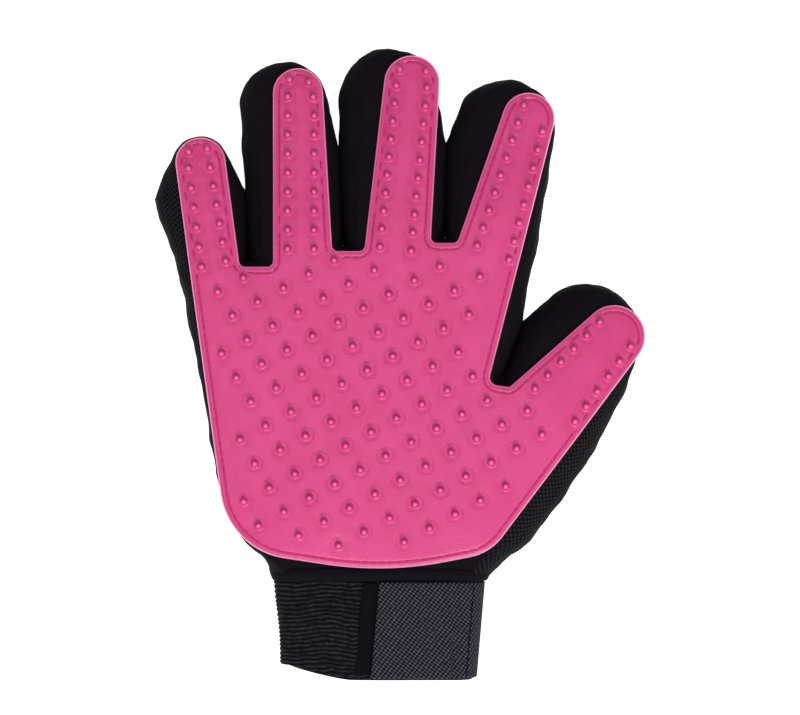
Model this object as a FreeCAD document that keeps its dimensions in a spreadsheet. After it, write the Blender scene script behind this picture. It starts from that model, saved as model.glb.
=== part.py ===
"""Grooming glove: a right-hand glove with a nubbed silicone palm, lying on its back.

Frame: +Z up out of the palm, +Y along the fingers, +X towards the thumb. The origin is on
the surface that the glove rests on, under the middle of its outline. Millimetres.
"""
import FreeCAD, Part
import math
import os

import Sketcher
from FreeCAD import Placement, Rotation, Vector

doc = FreeCAD.newDocument("grooming_glove")
sheet = doc.addObject("Spreadsheet::Sheet", "sizes")

# ---------------------------------------------------------------- driving dimensions

SIZES = {
    "palm_top": 26.0,         # outer face of the silicone on the palm
    "pad_thick": 1.8,         # silicone sheet
    "lining_thick": 1.0,      # fabric that the silicone is bonded to
    "back_thick": 2.0,        # air mesh on the back of the hand
    "wall_thick": 1.5,        # fabric between the palm side and the back
    "widest_height": 10.0,    # height at which the fabric bulges most
    "back_inset": 4.0,        # how far the flat back stops short of the bulge
    "finger_droop": 6.0,      # degrees that the digits' palm faces slope down
    "root_overlap": 3.0,      # drawn past the knuckle line, then trimmed off
    "nub_base_radius": 2.3,
    "nub_tip_radius": 0.8,
    "nub_height": 3.0,
    "palm_nub_pitch": 10.7,   # between the nubs of a row of the palm's grid
    "palm_nub_turn": 28.7,    # degrees that its rows are turned from across the palm
    "palm_row_pitch": 10.4,   # between one row's nubs and the next row's
    "palm_row_turn": -58.7,   # degrees that the way from row to row is turned
    "palm_nub_margin": 6.2,   # bare rim between the grid of nubs and the silicone's edge
    "heel_nub_margin": 7.3,   # the same round the heel of the hand
    "heel_line": -20.0,       # where the heel of the hand starts along Y
    "crotch_nub_margin": 3.3, # the same where the edge is a crotch between two digits
    "palm_nub_x": -43.1,      # one nub of the grid, from which the others are counted
    "palm_nub_y": 28.3,
    "palm_nub_end": 40.0,     # the grid stops here along Y, where the fingers' rows begin
    "nub_clearance": 6.0,     # least distance between the grid and the fingers' rows
    "wrist_line": -76.0,      # where the palm ends and the binding starts
    "binding_length": 4.0,
    "binding_thick": 3.0,
    "cuff_end": -117.1,
    "cuff_bottom": 1.5,
    "cuff_top": 23.0,
    "cuff_wall": 2.0,
    "cuff_corner": 8.0,
    "loop_thick": 0.8,
    "hook_thick": 0.8,
    "tab_thick": 1.4,
    "flap_hinge": 18.5,       # where the strap leaves its sewn end, along X
    "anchor_drop": 15.0,      # how far the strap's sewn end reaches down the cuff's side
    "patch_end": -115.0,      # the hook and loop tape's edge by the cuff's open end
    "patch_width": 33.0,
    "slant_turn": -15.0,      # degrees that the cuff's open end is cut back on the left
    "slant_x": -55.2,         # a corner of the box that makes that cut
    "slant_y": -127.8,
    "slant_length": 40.0,
    "slant_width": 20.0,
    "cutter_height": 60.0,    # boxes that cut the glove up pass through its whole height
    "cutter_depth": 10.0,     # and start this far under it
    "cutter_breadth": 140.0,  # wider than any digit
    "cutter_reach": 80.0,     # longer than any digit's tip segment
    "knuckle_reach": 60.0,    # longer than any digit's drawn root
}

# For each digit, in its own frame: X' across it, Y' along it from its knuckle line.
# pad_* is the silicone's outline and side_* the fabric's, each a tip circle and the two
# edges at the drawn root.  The four fingers' frames are turned 0 degrees, the thumb's -43.
DIGITS = {
    "little": {
        "knuckle": 40.8, "turn": 0.0,
        "pad_left": -78.7, "pad_right": -59.7, "pad_tip_x": -74.0, "pad_tip_y": 34.1,
        "pad_tip_radius": 9.3,
        "side_left": -83.4, "side_right": -58.2, "side_tip_x": -74.4, "side_tip_y": 25.6,
        "side_tip_radius": 15.6,
        "nub_pitch": 7.1, "base_rows": 3, "left_rows": 6, "right_rows": 6,
        "root_gap": 8.9, "tip_gap": 7.9,
    },
    "ring": {
        "knuckle": 46.0, "turn": 0.0,
        "pad_left": -46.7, "pad_right": -25.8, "pad_tip_x": -37.9, "pad_tip_y": 54.8,
        "pad_tip_radius": 9.3,
        "side_left": -54.6, "side_right": -21.8, "side_tip_x": -42.0, "side_tip_y": 50.3,
        "side_tip_radius": 15.2,
        "nub_pitch": 7.1, "base_rows": 4, "left_rows": 9, "right_rows": 9,
        "root_gap": 9.9, "tip_gap": 9.7,
    },
    "middle": {
        "knuckle": 52.8, "turn": 0.0,
        "pad_left": -12.1, "pad_right": 9.7, "pad_tip_x": 4.4, "pad_tip_y": 51.7,
        "pad_tip_radius": 10.3,
        "side_left": -20.2, "side_right": 16.0, "side_tip_x": -3.6, "side_tip_y": 47.0,
        "side_tip_radius": 16.7,
        "nub_pitch": 6.7, "base_rows": 4, "left_rows": 9, "right_rows": 9,
        "root_gap": 11.4, "tip_gap": 11.4,
    },
    "index": {
        "knuckle": 54.4, "turn": 0.0,
        "pad_left": 24.5, "pad_right": 48.7, "pad_tip_x": 47.7, "pad_tip_y": 36.8,
        "pad_tip_radius": 9.7,
        "side_left": 17.4, "side_right": 51.4, "side_tip_x": 38.5, "side_tip_y": 32.4,
        "side_tip_radius": 18.9,
        "nub_pitch": 6.7, "base_rows": 3, "left_rows": 7, "right_rows": 5,
        "root_gap": 12.0, "tip_gap": 9.8,
    },
    "thumb": {
        "knuckle": 24.7, "turn": -43.0,
        "pad_left": 35.4, "pad_right": 67.5, "pad_tip_x": 51.0, "pad_tip_y": 37.2,
        "pad_tip_radius": 11.5,
        "side_left": 30.6, "side_right": 75.0, "side_tip_x": 43.5, "side_tip_y": 29.8,
        "side_tip_radius": 19.8,
        "nub_pitch": 6.9, "base_rows": 3, "left_rows": 6, "right_rows": 6,
        "root_gap": 19.0, "tip_gap": 14.5,
    },
}

for digit, values in DIGITS.items():
    for key, value in values.items():
        SIZES[f"{digit}_{key}"] = value

for row, (alias, value) in enumerate(SIZES.items(), start=1):
    sheet.set(f"A{row}", alias)
    sheet.set(f"B{row}", str(value))
    sheet.setAlias(f"B{row}", alias)
doc.recompute()


def size(alias):
    return float(sheet.get(alias))


# ---------------------------------------------------------------- helpers

def turned(direction, length):
    """A plan vector of the given length at a direction in degrees from +X."""
    angle = math.radians(direction)
    return Vector(length * math.cos(angle), length * math.sin(angle), 0)


def digit_frame(digit):
    """The placement of a digit's own frame, on the resting surface at its knuckle line."""
    turn = size(f"{digit}_turn")
    return Placement(turned(90 + turn, size(f"{digit}_knuckle")), Rotation(Vector(0, 0, 1), turn))


def in_plan(digit, across, along=0.0):
    """The plan point at a place in a digit's own frame, as (x, y)."""
    point = digit_frame(digit).multVec(Vector(across, along, 0))
    return (point.x, point.y)


def origin_plane(body, role):
    return next(item for item in body.Origin.OriginFeatures if item.Role == role)


def place_sketch(sketch, body):
    sketch.AttachmentSupport = [(origin_plane(body, "XY_Plane"), "")]
    sketch.MapMode = "FlatFace"


def draw_outline(sketch, corners):
    """Draw a closed outline through corners (x, y) or (x, y, radius), rounding those."""
    count = len(corners)
    starts = []
    ends = []
    arcs = []
    for i, corner in enumerate(corners):
        here = Vector(corner[0], corner[1], 0)
        radius = corner[2] if len(corner) > 2 else 0
        before = Vector(*corners[i - 1][:2], 0) - here
        after = Vector(*corners[(i + 1) % count][:2], 0) - here
        before.normalize()
        after.normalize()
        if radius == 0:
            starts.append(here)
            ends.append(here)
            continue
        half = before.getAngle(after) / 2
        reach = radius / math.tan(half)
        middle = (before + after).normalize()
        bend = here + middle * (radius / math.sin(half) - radius)
        starts.append(here + before * reach)
        ends.append(here + after * reach)
        arcs.append(Part.Arc(starts[-1], bend, ends[-1]))
    edges = [Part.LineSegment(ends[i], starts[(i + 1) % count]) for i in range(count)]
    sketch.addGeometry(edges + arcs, False)
    sketch.solve()


def flat_sketch(name, height, corners):
    """A level sketch at a height, given as an expression on the sheet."""
    sketch = doc.addObject("Sketcher::SketchObject", name)
    draw_outline(sketch, corners)
    sketch.setExpression("Placement.Base.z", height)
    return sketch


def upright_sketch(name, along, corners):
    """A sketch that stands across the wrist at a place along Y, its own Y upwards."""
    sketch = doc.addObject("Sketcher::SketchObject", name)
    draw_outline(sketch, corners)
    sketch.Placement = Placement(Vector(0, 0, 0), Rotation(Vector(1, 0, 0), 90))
    sketch.setExpression("Placement.Base.y", along)
    return sketch


def loft(name, sections):
    """A solid with straight sides through its sections."""
    solid = doc.addObject("Part::Loft", name)
    solid.Sections = sections
    solid.Solid = True
    solid.Ruled = True
    return solid


def boolean(kind, name, base, tool):
    result = doc.addObject(f"Part::{kind}", name)
    result.Base = base
    result.Tool = tool
    return result


def extruded(name, corners, thickness, height):
    """A body: an outline raised by a thickness from a height, both expressions."""
    body = doc.addObject("PartDesign::Body", name)
    outline = body.newObject("Sketcher::SketchObject", f"{name}_outline")
    place_sketch(outline, body)
    draw_outline(outline, corners)
    sheet_pad = body.newObject("PartDesign::Pad", f"{name}_sheet")
    sheet_pad.Profile = outline
    sheet_pad.setExpression("Length", thickness)
    body.setExpression("Placement.Base.z", height)
    return body


def add_nubs(body, name, points):
    """Cones that stand on the face of a silicone body, at plan points in its frame."""
    circles = body.newObject("Sketcher::SketchObject", f"{name}_nub_feet")
    place_sketch(circles, body)
    circles.AttachmentOffset = Placement(Vector(0, 0, size("pad_thick")), Rotation())
    circles.setExpression("AttachmentOffset.Base.z", "sizes.pad_thick")
    for i, (across, along) in enumerate(points):
        foot = Part.Circle(Vector(across, along, 0), Vector(0, 0, 1), size("nub_base_radius"))
        circles.addGeometry(foot, False)
        if i > 0:
            circles.addConstraint(Sketcher.Constraint("Equal", 0, i))
    circles.addConstraint(Sketcher.Constraint("Radius", 0, size("nub_base_radius")))
    last = circles.ConstraintCount - 1
    circles.renameConstraint(last, "foot")
    circles.setExpression("Constraints.foot", "sizes.nub_base_radius")
    nubs = body.newObject("PartDesign::Pad", f"{name}_nubs")
    nubs.Profile = circles
    nubs.setExpression("Length", "sizes.nub_height")
    nubs.setExpression(
        "TaperAngle",
        "-atan((sizes.nub_base_radius - sizes.nub_tip_radius) / sizes.nub_height)",
    )
    body.Tip = nubs


nodes = []


def keep(shape, name):
    """Name a finished sub-part; each kept object is one node."""
    shape.Label = name
    nodes.append(shape)
    return shape


# ---------------------------------------------------------------- digits

def draw_digit_outline(sketch, digit, kind, insets=()):
    """A digit's rounded outline: straight root, two edges and the tip arc tangent to both.

    The insets name the sizes by which the outline is drawn smaller all round.
    """
    value = {
        key: size(f"{digit}_{kind}_{key}")
        for key in ("left", "right", "tip_x", "tip_y", "tip_radius")
    }
    step = sum(size(alias) for alias in insets)
    inset = "(0" + "".join(f" + sizes.{alias}" for alias in insets) + ")"
    left = Vector(value["left"] + step, -size("root_overlap"), 0)
    right = Vector(value["right"] - step, -size("root_overlap"), 0)
    centre = Vector(value["tip_x"], value["tip_y"], 0)
    radius = value["tip_radius"] - step

    def touch(point, side):
        """Where the line from a root point touches the tip circle, on side +1 or -1."""
        to_centre = centre - point
        lean = math.asin(radius / to_centre.Length)
        angle = math.atan2(to_centre.y, to_centre.x) + side * lean
        reach = math.sqrt(to_centre.Length ** 2 - radius ** 2)
        return point + Vector(math.cos(angle), math.sin(angle), 0) * reach

    touch_left = touch(left, 1)
    touch_right = touch(right, -1)
    start = math.atan2(touch_right.y - centre.y, touch_right.x - centre.x)
    end = math.atan2(touch_left.y - centre.y, touch_left.x - centre.x)
    circle = Part.Circle(centre, Vector(0, 0, 1), radius)
    sketch.addGeometry([
        Part.LineSegment(left, right),
        Part.LineSegment(right, touch_right),
        Part.ArcOfCircle(circle, start, end),
        Part.LineSegment(touch_left, left),
    ], False)
    fixed = [
        Sketcher.Constraint("Coincident", 0, 2, 1, 1),
        Sketcher.Constraint("Tangent", 1, 2, 2, 1),
        Sketcher.Constraint("Tangent", 2, 2, 3, 1),
        Sketcher.Constraint("Coincident", 3, 2, 0, 1),
        Sketcher.Constraint("Horizontal", 0),
    ]
    sketch.addConstraint(fixed)
    driven = [
        ("root", "DistanceY", (0, 1), left.y, "-sizes.root_overlap"),
        ("left", "DistanceX", (0, 1), left.x, f"sizes.{digit}_{kind}_left + {inset}"),
        ("right", "DistanceX", (0, 2), right.x, f"sizes.{digit}_{kind}_right - {inset}"),
        ("tip_x", "DistanceX", (2, 3), centre.x, f"sizes.{digit}_{kind}_tip_x"),
        ("tip_y", "DistanceY", (2, 3), centre.y, f"sizes.{digit}_{kind}_tip_y"),
    ]
    for name, how, (edge, point), value_now, expression in driven:
        number = sketch.addConstraint(Sketcher.Constraint(how, -1, 1, edge, point, value_now))
        sketch.renameConstraint(number, name)
        sketch.setExpression(f"Constraints.{name}", expression)
    number = sketch.addConstraint(Sketcher.Constraint("Radius", 2, radius))
    sketch.renameConstraint(number, "tip_radius")
    sketch.setExpression("Constraints.tip_radius", f"sizes.{digit}_{kind}_tip_radius - {inset}")


def palm_face_frame(digit, depth=0.0):
    """The sloping frame of a digit's palm face, some depth under its outer surface."""
    slope = Rotation(Vector(1, 0, 0), -size("finger_droop"))
    face = digit_frame(digit) * Placement(Vector(0, 0, size("palm_top")), slope)
    return face * Placement(Vector(0, 0, -depth), Rotation())


def digit_sheet(digit, name, kind, thickness, placement, insets=()):
    """A flat panel of a digit over its whole length, as a body."""
    body = doc.addObject("PartDesign::Body", f"{digit}_{name}_whole")
    outline = body.newObject("Sketcher::SketchObject", f"{digit}_{name}_outline")
    place_sketch(outline, body)
    draw_digit_outline(outline, digit, kind, insets)
    panel = body.newObject("PartDesign::Pad", f"{digit}_{name}_panel")
    panel.Profile = outline
    panel.setExpression("Length", thickness)
    body.Placement = placement
    return body


def digit_level(digit, name, kind, placement, insets):
    sketch = doc.addObject("Sketcher::SketchObject", f"{digit}_{name}")
    draw_digit_outline(sketch, digit, kind, insets)
    sketch.Placement = placement
    return sketch


def digit_shell(digit):
    """The fabric round the sides of a digit, from its back panel up to its palm face."""
    frame = digit_frame(digit)
    deep = size("pad_thick") + size("lining_thick")
    back = frame * Placement(Vector(0, 0, size("back_thick")), Rotation())
    widest = frame * Placement(Vector(0, 0, size("widest_height")), Rotation())
    palm = palm_face_frame(digit, deep)
    both = []
    for name, insets in (("outer", ()), ("inner", ("wall_thick",))):
        both.append(loft(f"{digit}_{name}", [
            digit_level(digit, f"{name}_back", "side", back, insets + ("back_inset",)),
            digit_level(digit, f"{name}_widest", "side", widest, insets),
            digit_level(digit, f"{name}_palm", "pad", palm, insets),
        ]))
    return boolean("Cut", f"{digit}_gusset_whole", both[0], both[1])


def segment_box(digit, segment):
    """The space that a digit's base or tip segment fills, between its hinge planes."""
    box = doc.addObject("Part::Box", f"{digit}_{segment}_space")
    box.setExpression("Length", "sizes.cutter_breadth")
    box.setExpression("Height", "sizes.cutter_height")
    middle = f"sizes.{digit}_nub_pitch * sizes.{digit}_base_rows"
    curl = size(f"{digit}_nub_pitch") * size(f"{digit}_base_rows")
    centre = (size(f"{digit}_side_left") + size(f"{digit}_side_right")) / 2
    across = centre - size("cutter_breadth") / 2
    if segment == "base":
        box.setExpression("Width", middle)
        start = 0.0
    else:
        box.setExpression("Width", "sizes.cutter_reach")
        start = curl
    corner = Vector(across, start, -size("cutter_depth"))
    box.Placement = digit_frame(digit) * Placement(corner, Rotation())
    return box


def nub_places(digit):
    """Two columns of nubs along a digit, the rows half a pitch off its knuckle line."""
    places = []
    root = size("root_overlap")
    tip_y = size(f"{digit}_pad_tip_y")
    root_x = (size(f"{digit}_pad_left") + size(f"{digit}_pad_right")) / 2
    for side in ("left", "right"):
        sign = -0.5 if side == "left" else 0.5
        for row in range(int(size(f"{digit}_{side}_rows"))):
            along = size(f"{digit}_nub_pitch") * (row + 0.5)
            share = (along + root) / (tip_y + root)
            gap = size(f"{digit}_root_gap") * (1 - share) + size(f"{digit}_tip_gap") * share
            middle = root_x * (1 - share) + size(f"{digit}_pad_tip_x") * share
            places.append((middle + sign * gap, along))
    return places


def build_digit(digit):
    pad_deep = size("pad_thick")
    lining_deep = pad_deep + size("lining_thick")
    pad = digit_sheet(digit, "pad", "pad", "sizes.pad_thick", palm_face_frame(digit, pad_deep))
    add_nubs(pad, digit, nub_places(digit))
    wholes = {
        "pad": pad,
        "lining": digit_sheet(digit, "lining", "pad", "sizes.lining_thick",
                              palm_face_frame(digit, lining_deep)),
        "gusset": digit_shell(digit),
        "back": digit_sheet(digit, "back", "side", "sizes.back_thick", digit_frame(digit),
                            ("back_inset",)),
    }
    for segment in ("base", "tip"):
        space = segment_box(digit, segment)
        for piece, whole in wholes.items():
            name = f"{digit}_{segment}_{piece}"
            keep(boolean("Common", name, whole, space), name)


for digit in DIGITS:
    build_digit(digit)

# ---------------------------------------------------------------- palm

# Plan paths along the palm's edges, from one hinge line to the next, going round the hand
# anticlockwise from the little finger's outer side.  "top" is where the fabric meets the
# palm lining, "widest" is the bulge.  Thumb ends are given in the thumb's own frame.
EDGE_PATHS = {
    "little_side_wall": {
        "top": [(-79.4, 44), (-71.5, -12), (-66.2, -49), (-60.5, -65), (-47, -76)],
        "widest": [(-84.2, 44), (-74, -12), (-67, -49), (-61.5, -66), (-47.4, -76)],
    },
    "thumb_side_wall": {
        "top": [(32, -76), (36, -68.5), (51.5, -47.5), in_plan("thumb", 67.2, 3)],
        "widest": [(32.4, -76), (42.5, -70), (58, -51.5), in_plan("thumb", 74.6, 3)],
    },
    "web_index_thumb": {
        "top": [in_plan("thumb", 35.8, 3), (40.6, -8.4), (32.6, -7.2), (41.4, 26), (50, 58)],
        "widest": [in_plan("thumb", 30.0, 3), (38.4, -5.6), (36, -5.2), (46, 22), (51.8, 58)],
    },
    "web_middle_index": {
        "top": [(26.5, 58), (21.8, 45), (11.5, 45), (10.2, 58)],
        "widest": [(17.6, 58), (17.1, 47), (15.9, 47), (15.9, 58)],
    },
    "web_ring_middle": {
        "top": [(-11.4, 56), (-13, 42), (-25.2, 42), (-25.9, 50)],
        "widest": [(-20.1, 56), (-20.3, 44), (-21.7, 44), (-21.9, 50)],
    },
    "web_little_ring": {
        "top": [(-46.6, 50), (-47, 36.2), (-59.6, 36.2), (-59.9, 44)],
        "widest": [(-54.6, 50), (-55.2, 38.5), (-57.6, 38.5), (-58.2, 44)],
    },
}


def beside(path, distance):
    """A plan path moved a distance to its left, with mitred corners and square ends."""
    points = [Vector(x, y, 0) for x, y in path]
    normals = []
    for start, end in zip(points, points[1:]):
        run = (end - start).normalize()
        normals.append(Vector(-run.y, run.x, 0))
    moved = []
    for i, point in enumerate(points):
        first = normals[max(i - 1, 0)]
        second = normals[min(i, len(normals) - 1)]
        middle = (first + second).normalize()
        place = point + middle * (distance / middle.dot(first))
        moved.append((place.x, place.y))
    return moved


def edge_path(name, level):
    """The path of an edge at a level; the back's is the bulge's, moved inwards."""
    if level == "back":
        return beside(EDGE_PATHS[name]["widest"], size("back_inset"))
    return EDGE_PATHS[name][level]


def palm_outline(level):
    """The closed outline of the palm, its edges joined across the drawn roots."""
    corners = []
    for name in EDGE_PATHS:
        corners.extend(edge_path(name, level))
    return corners


def trimmed_to_palm(name, whole):
    """Cut a palm piece off at the five knuckle lines."""
    return boolean("Cut", name, whole, beyond_knuckles)


def knuckle_space(digit, low, high):
    """The space beyond a digit's knuckle line, between two places across it."""
    box = doc.addObject("Part::Box", f"beyond_{digit}_knuckle")
    box.Length = high - low
    box.setExpression("Width", "sizes.knuckle_reach")
    box.setExpression("Height", "sizes.cutter_height")
    corner = Vector(low, 0, -size("cutter_depth"))
    box.Placement = digit_frame(digit) * Placement(corner, Rotation())
    return box


# Where each digit's space ends across it; neighbours meet in the air between them.
KNUCKLE_SPANS = {
    "little": (-95, -56.4),
    "ring": (-56.4, -21.0),
    "middle": (-21.0, 16.7),
    "index": (16.7, 70),
    "thumb": (29.3, 90),
}
beyond_knuckles = doc.addObject("Part::MultiFuse", "beyond_knuckles")
beyond_knuckles.Shapes = [
    knuckle_space(digit, low, high) for digit, (low, high) in KNUCKLE_SPANS.items()
]

PAD_CROTCH = 2.2
pad_corners = [
    (-79.4, 44), (-63.5, -68.5, 28), (-5.5, -77.5, 130), (33.4, -69.8, 20),
    in_plan("thumb", 67.2, 3), in_plan("thumb", 35.8, 3),
    (40.6, -8.4, 1.5), (32.6, -7.2, 3), (50.5, 58),
    (26.5, 58), (21.8, 45, PAD_CROTCH), (11.5, 45, PAD_CROTCH), (10.2, 58),
    (-11.4, 56), (-13, 42, PAD_CROTCH), (-25.2, 42, PAD_CROTCH), (-25.9, 50),
    (-46.6, 50), (-47, 36.2, PAD_CROTCH), (-59.6, 36.2, PAD_CROTCH), (-59.9, 44),
]


# The middle of each crotch's edge, and how many of the nubs in a finger's left and right
# columns stand on the palm.
CROTCHES = [(-53.3, 36.2), (-19.1, 42), (16.6, 45), (36.5, -8)]
ROOT_ROWS = {"little": (1, 1), "ring": (1, 1), "middle": (2, 2), "index": (2, 3)}


def root_nub_places():
    """The fingers' first rows of nubs, on the palm's side of their knuckle lines."""
    places = []
    for digit, counts in ROOT_ROWS.items():
        middle = (size(f"{digit}_pad_left") + size(f"{digit}_pad_right")) / 2
        for side, rows in zip((-0.5, 0.5), counts):
            across = middle + side * size(f"{digit}_root_gap")
            for row in range(rows):
                along = -size(f"{digit}_nub_pitch") * (row + 0.5)
                places.append(in_plan(digit, across, along))
    return places


def palm_nub_places():
    """A turned grid of nubs, kept off the silicone's rim, and the fingers' first rows."""
    places = root_nub_places()
    roots = [Vector(x, y, 0) for x, y in places]
    crotches = [Vector(x, y, 0) for x, y in CROTCHES]
    corners = [Vector(corner[0], corner[1], 0) for corner in pad_corners]
    rim = Part.makePolygon(corners + corners[:1])
    face = Part.Face(rim)
    start = Vector(size("palm_nub_x"), size("palm_nub_y"), 0)
    pitch = size("palm_nub_pitch")
    across = turned(size("palm_nub_turn"), pitch)
    down = turned(size("palm_row_turn"), size("palm_row_pitch"))
    to_thumb = digit_frame("thumb").inverse()
    for i in range(-9, 15):
        for j in range(-9, 15):
            point = start + across * i + down * j
            margin = size("palm_nub_margin" if point.y > size("heel_line") else "heel_nub_margin")
            if min(point.distanceToPoint(crotch) for crotch in crotches) < 1.2 * pitch:
                margin = size("crotch_nub_margin")
            if Part.Vertex(point).distToShape(rim)[0] < margin:
                continue
            if point.y > size("palm_nub_end"):
                continue
            seen = to_thumb.multVec(point)
            if seen.x > size("thumb_pad_left") - margin and seen.y > -margin / 2:
                continue
            if min(point.distanceToPoint(root) for root in roots) < size("nub_clearance"):
                continue
            if face.isInside(point, 0.01, True):
                places.append((point.x, point.y))
    return places


palm_pad_whole = extruded("palm_pad_whole", pad_corners, "sizes.pad_thick",
                          "sizes.palm_top - sizes.pad_thick")
add_nubs(palm_pad_whole, "palm", palm_nub_places())
keep(trimmed_to_palm("palm_pad", palm_pad_whole), "palm_pad")

palm_lining_whole = extruded("palm_lining_whole", palm_outline("top"), "sizes.lining_thick",
                             "sizes.palm_top - sizes.pad_thick - sizes.lining_thick")
keep(trimmed_to_palm("palm_lining", palm_lining_whole), "palm_lining")

back_mesh_whole = extruded("back_mesh_whole", palm_outline("back"), "sizes.back_thick", "0 mm")
keep(trimmed_to_palm("back_mesh", back_mesh_whole), "back_mesh")


def build_wall(name):
    """The fabric wall along one edge of the palm: a ribbon lofted through three levels."""
    heights = {
        "back": "sizes.back_thick",
        "widest": "sizes.widest_height",
        "top": "sizes.palm_top - sizes.pad_thick - sizes.lining_thick",
    }
    sections = []
    for level, height in heights.items():
        outside = edge_path(name, level)
        inside = beside(outside, size("wall_thick"))
        ribbon = outside + inside[::-1]
        sections.append(flat_sketch(f"{name}_{level}", height, ribbon))
    keep(trimmed_to_palm(name, loft(f"{name}_whole", sections)), name)


for edge in EDGE_PATHS:
    build_wall(edge)

# ---------------------------------------------------------------- cuff

# Left and right of the cuff where it meets the binding and at its open end.
CUFF_TOP_SPAN = (-47.0, 30.4)
CUFF_END_SPAN = (-44.0, 27.0)
BINDING_SPAN = (-48.0, 33.4)


def wrist_section(span, bottom, top, corner, inset=0.0):
    """The corners of a rounded rectangle across the wrist, as (x, z, radius)."""
    left, right = span[0] + inset, span[1] - inset
    low, high = bottom + inset, top - inset
    radius = corner - inset
    return [(left, low, radius), (right, low, radius), (right, high, radius), (left, high, radius)]


def build_binding():
    body = doc.addObject("PartDesign::Body", "wrist_binding")
    ring = body.newObject("Sketcher::SketchObject", "binding_ring")
    ring.AttachmentSupport = [(origin_plane(body, "XZ_Plane"), "")]
    ring.MapMode = "FlatFace"
    low = 0.0
    high = size("palm_top")
    draw_outline(ring, wrist_section(BINDING_SPAN, low, high, 10))
    draw_outline(ring, wrist_section(BINDING_SPAN, low, high, 10, size("binding_thick")))
    band = body.newObject("PartDesign::Pad", "binding_band")
    band.Profile = ring
    band.setExpression("Length", "sizes.binding_length")
    body.setExpression("Placement.Base.y", "sizes.wrist_line")
    keep(body, "wrist_binding")


def cuff_tube(name, inset):
    """The cuff's outer or inner form between the binding and its open end."""
    bottom, top, corner = size("cuff_bottom"), size("cuff_top"), size("cuff_corner")
    return loft(name, [
        upright_sketch(f"{name}_start", "sizes.wrist_line - sizes.binding_length",
                       wrist_section(CUFF_TOP_SPAN, bottom, top, corner, inset)),
        upright_sketch(f"{name}_end", "sizes.cuff_end",
                       wrist_section(CUFF_END_SPAN, bottom, top, corner, inset)),
    ])


def build_cuff():
    tube = boolean("Cut", "cuff_tube", cuff_tube("cuff_outer", 0.0),
                   cuff_tube("cuff_inner", size("cuff_wall")))
    slant = doc.addObject("Part::Box", "cuff_slant")
    slant.setExpression("Length", "sizes.slant_length")
    slant.setExpression("Width", "sizes.slant_width")
    slant.setExpression("Height", "sizes.cutter_height")
    corner = Vector(size("slant_x"), size("slant_y"), -size("cutter_depth"))
    slant.Placement = Placement(corner, Rotation(Vector(0, 0, 1), size("slant_turn")))
    keep(boolean("Cut", "cuff_elastic", tube, slant), "cuff_elastic")


def build_patch(name, left, right, bottom, thickness):
    """A flat patch of hook or loop tape on the cuff's palm side."""
    patch = doc.addObject("Part::Box", name)
    patch.Length = right - left
    patch.setExpression("Width", "sizes.patch_width")
    patch.setExpression("Height", thickness)
    patch.Placement.Base = Vector(left, size("patch_end"), 0)
    patch.setExpression("Placement.Base.z", bottom)
    keep(patch, name)


def anchor_section(name, along, right):
    """The strap's sewn end across the wrist: from its fold, round the cuff's edge."""
    top = size("cuff_top")
    fold = size("flap_hinge")
    face = size("palm_top")
    corner = size("cuff_corner")
    tape = size("tab_thick")
    low = top - size("anchor_drop")
    return upright_sketch(name, along, [
        (fold, top), (right, top, corner), (right, low), (right + tape, low),
        (right + tape, face, corner + tape), (fold, face),
    ])


def build_strap():
    build_patch("loop_patch", -17.0, 18.0, "sizes.cuff_top", "sizes.loop_thick")
    build_patch("hook_patch", -6.0, 18.0, "sizes.cuff_top + sizes.loop_thick",
                "sizes.hook_thick")
    fold = size("flap_hinge")
    tab = extruded("strap_tab", [(fold, -80.5), (-7.4, -80.5), (-11.8, -116), (fold, -116)],
                   "sizes.tab_thick", "sizes.palm_top - sizes.tab_thick")
    keep(tab, "strap_tab")
    anchor = loft("strap_anchor", [
        anchor_section("anchor_start", "sizes.wrist_line - sizes.binding_length", CUFF_TOP_SPAN[1]),
        anchor_section("anchor_end", "sizes.cuff_end", CUFF_END_SPAN[1]),
    ])
    keep(anchor, "strap_anchor")


build_binding()
build_cuff()
build_strap()

# ---------------------------------------------------------------- check and write

doc.recompute()
for item in doc.Objects:
    if {"Invalid", "Error"} & set(item.State):
        raise RuntimeError(f"{item.Name} did not compute: {item.State}")
for node in nodes:
    if node.Shape.isNull() or not node.Shape.isValid() or node.Shape.Volume <= 0:
        raise RuntimeError(f"{node.Label} has no sound shape")

os.makedirs("parts", exist_ok=True)
for node in nodes:
    node.Shape.exportStep(f"parts/{node.Label}.step")
print(f"{len(nodes)} nodes")
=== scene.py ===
"""Grooming glove: silicone palm with nubs, fabric sleeve, ribbed cuff and wrist strap.

Plan sizes are in millimetres in the row frame until a mesh is made.
"""
import math

import bpy
import numpy as np
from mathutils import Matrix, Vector
from mathutils.geometry import delaunay_2d_cdt


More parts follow.
